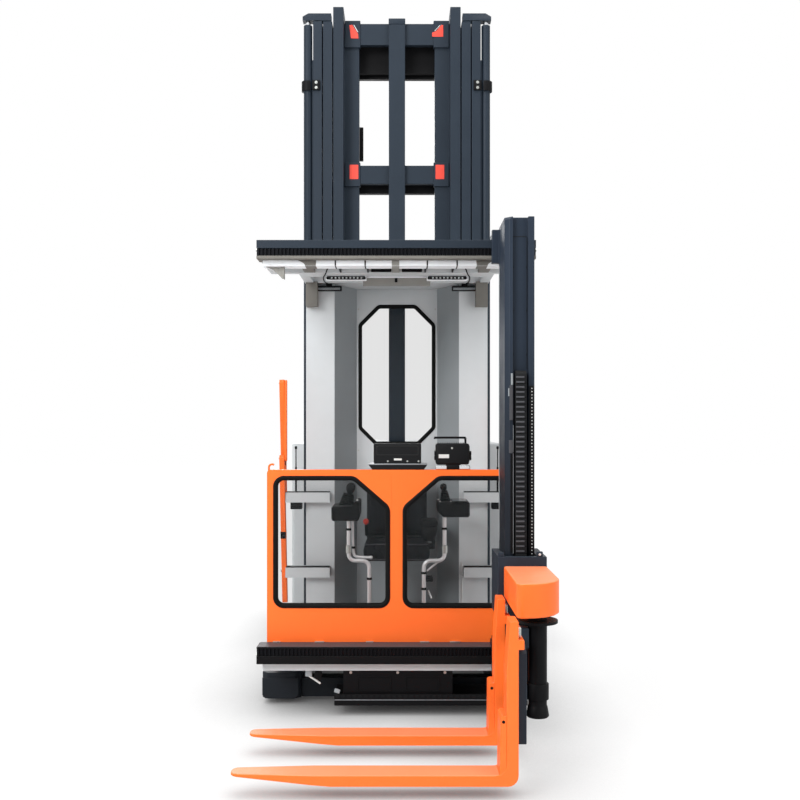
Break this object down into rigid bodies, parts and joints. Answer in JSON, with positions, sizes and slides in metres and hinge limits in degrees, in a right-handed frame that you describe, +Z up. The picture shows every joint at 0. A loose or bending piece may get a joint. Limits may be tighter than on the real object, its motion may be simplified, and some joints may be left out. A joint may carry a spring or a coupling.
{
  "type": "man-up turret stacker forklift",
  "caption": "Very narrow aisle forklift: operator cab rising on a nested mast, sliding side mast on toothed rails and forks that swivel to either side.",
  "frame": {"origin": "on the floor under the middle of the whole truck's outline", "axes": "+Z up, -Y towards the forks' end, +X to the right seen from the forks' end"},
  "size_m": [1.494, 4.2, 4.25],
  "materials": {
    "orange_paint": "satin orange paint",
    "grey_paint": "satin light grey paint",
    "mast_paint": "satin slate grey paint",
    "black_paint": "satin black paint",
    "rack_steel": "greased black steel",
    "chrome_rod": "hard chrome",
    "black_plastic": "moulded black plastic",
    "seat_fabric": "woven black fabric",
    "window_glass": "clear float glass",
    "wheel_tyre": "cast polyurethane tread",
    "lamp_lens": "clear lamp lens"
  },
  "bodies": {
    "chassis": {"leg_left": "mast_paint", "leg_right": "mast_paint", "front_beam": "mast_paint", "chassis_frame": "mast_paint", "drive_motor": "black_paint", "rear_body": "grey_paint", "battery_pack": "black_paint", "mast_outer": "mast_paint", "lift_cylinder_left": "mast_paint", "lift_cylinder_right": "mast_paint"},
    "load_wheel_front_left": {"load_wheel_front_left": "wheel_tyre"},
    "load_wheel_front_right": {"load_wheel_front_right": "wheel_tyre"},
    "load_wheel_rear_left": {"load_wheel_rear_left": "wheel_tyre"},
    "load_wheel_rear_right": {"load_wheel_rear_right": "wheel_tyre"},
    "steering": {"steer_unit": "mast_paint"},
    "drive_wheel": {"drive_wheel": "wheel_tyre"},
    "mast_middle_stage": {"mast_middle": "mast_paint", "lift_rod_left": "chrome_rod", "lift_rod_right": "chrome_rod"},
    "mast_inner_stage": {"mast_inner": "mast_paint"},
    "cab": {"cab_floor": "grey_paint", "front_panel": "orange_paint", "front_glass_left": "window_glass", "front_glass_right": "window_glass", "cab_back_wall": "grey_paint", "rear_glass": "window_glass", "roof": "grey_paint", "light_bar_left": "lamp_lens", "light_bar_right": "lamp_lens", "lower_rail": "black_paint", "lower_rack": "rack_steel", "upper_rail": "black_paint", "upper_rack": "rack_steel", "chain_tray": "black_paint", "seat_base": "black_plastic", "seat_cushion": "seat_fabric", "seat_backrest": "seat_fabric", "console_left": "black_plastic", "console_right": "black_plastic", "console_stand_left": "chrome_rod", "console_stand_right": "chrome_rod", "front_console": "black_plastic", "screen": "black_plastic"},
    "aux_mast_column": {"aux_mast": "mast_paint"},
    "chain_loop": {"energy_chain": "black_plastic"},
    "aux_lift": {"aux_carriage": "mast_paint", "swing_housing": "orange_paint"},
    "fork_head": {"pivot_column": "black_paint", "fork_carriage": "mast_paint", "fork_front": "orange_paint", "fork_rear": "orange_paint"},
    "gate_upper_left": {"gate_upper_bar_left": "orange_paint"},
    "gate_lower_left": {"gate_lower_bar_left": "orange_paint"},
    "gate_link_left": {"gate_link_left": "orange_paint"},
    "gate_upper_right": {"gate_upper_bar_right": "orange_paint"},
    "gate_lower_right": {"gate_lower_bar_right": "orange_paint"},
    "gate_link_right": {"gate_link_right": "orange_paint"}
  },
  "joints": [
    {"name": "load_wheel_front_left_spin", "type": "hinge", "parent": "chassis", "child": "load_wheel_front_left", "pos_m": [-0.6385, -0.51, 0.1], "axis": [1, 0, 0], "continuous": true},
    {"name": "load_wheel_front_right_spin", "type": "hinge", "parent": "chassis", "child": "load_wheel_front_right", "pos_m": [0.6385, -0.51, 0.1], "axis": [1, 0, 0], "continuous": true},
    {"name": "load_wheel_rear_left_spin", "type": "hinge", "parent": "chassis", "child": "load_wheel_rear_left", "pos_m": [-0.6385, -0.29, 0.1], "axis": [1, 0, 0], "continuous": true},
    {"name": "load_wheel_rear_right_spin", "type": "hinge", "parent": "chassis", "child": "load_wheel_rear_right", "pos_m": [0.6385, -0.29, 0.1], "axis": [1, 0, 0], "continuous": true},
    {"name": "steer", "type": "hinge", "parent": "chassis", "child": "steering", "pos_m": [0, 1.69, 0.42], "axis": [0, 0, 1], "range_deg": [-90, 90]},
    {"name": "drive_wheel_spin", "type": "hinge", "parent": "steering", "child": "drive_wheel", "pos_m": [0, 1.69, 0.175], "axis": [1, 0, 0], "continuous": true},
    {"name": "mast_lift", "type": "slide", "parent": "chassis", "child": "mast_middle_stage", "axis": [0, 0, 1], "range_m": [0, 3.2]},
    {"name": "mast_inner_lift", "type": "slide", "parent": "mast_middle_stage", "child": "mast_inner_stage", "axis": [0, 0, 1], "range_m": [0, 3.2]},
    {"name": "cab_lift", "type": "slide", "parent": "mast_inner_stage", "child": "cab", "axis": [0, 0, 1], "range_m": [0, 1.6]},
    {"name": "gate_left", "type": "hinge", "parent": "cab", "child": "gate_upper_left", "pos_m": [-0.7062, 0.045, 1.1], "axis": [1, 0, 0], "range_deg": [0, 80]},
    {"name": "gate_lower_left_turn", "type": "hinge", "parent": "cab", "child": "gate_lower_left", "pos_m": [-0.7062, 0.045, 0.635], "axis": [1, 0, 0], "range_deg": [0, 80]},
    {"name": "gate_link_left_turn", "type": "hinge", "parent": "gate_upper_left", "child": "gate_link_left", "pos_m": [-0.6896, -0.08003, 1.80906], "axis": [1, 0, 0], "range_deg": [-80, 0]},
    {"name": "gate_right", "type": "hinge", "parent": "cab", "child": "gate_upper_right", "pos_m": [0.7062, 0.045, 1.1], "axis": [1, 0, 0], "range_deg": [0, 80]},
    {"name": "gate_lower_right_turn", "type": "hinge", "parent": "cab", "child": "gate_lower_right", "pos_m": [0.7062, 0.045, 0.635], "axis": [1, 0, 0], "range_deg": [0, 80]},
    {"name": "gate_link_right_turn", "type": "hinge", "parent": "gate_upper_right", "child": "gate_link_right", "pos_m": [0.6896, -0.08003, 1.80906], "axis": [1, 0, 0], "range_deg": [-80, 0]},
    {"name": "traverse", "type": "slide", "parent": "cab", "child": "aux_mast_column", "axis": [1, 0, 0], "range_m": [-1.226, 0]},
    {"name": "aux_lift", "type": "slide", "parent": "aux_mast_column", "child": "aux_lift", "axis": [0, 0, 1], "range_m": [0, 1.55]},
    {"name": "chain_travel", "type": "slide", "parent": "aux_mast_column", "child": "chain_loop", "axis": [0, 0, 1], "range_m": [0, 0.775]},
    {"name": "fork_rotate", "type": "hinge", "parent": "aux_lift", "child": "fork_head", "pos_m": [0.635, -1.77, 0.48], "axis": [0, 0, 1], "range_deg": [0, 180]}
  ],
  "couplings": [
    {"joint": "mast_inner_lift", "follows": "mast_lift", "ratio": 1},
    {"joint": "gate_lower_left_turn", "follows": "gate_left", "ratio": 1},
    {"joint": "gate_link_left_turn", "follows": "gate_left", "ratio": -1},
    {"joint": "gate_lower_right_turn", "follows": "gate_right", "ratio": 1},
    {"joint": "gate_link_right_turn", "follows": "gate_right", "ratio": -1},
    {"joint": "chain_travel", "follows": "aux_lift", "ratio": 0.5}
  ]
}
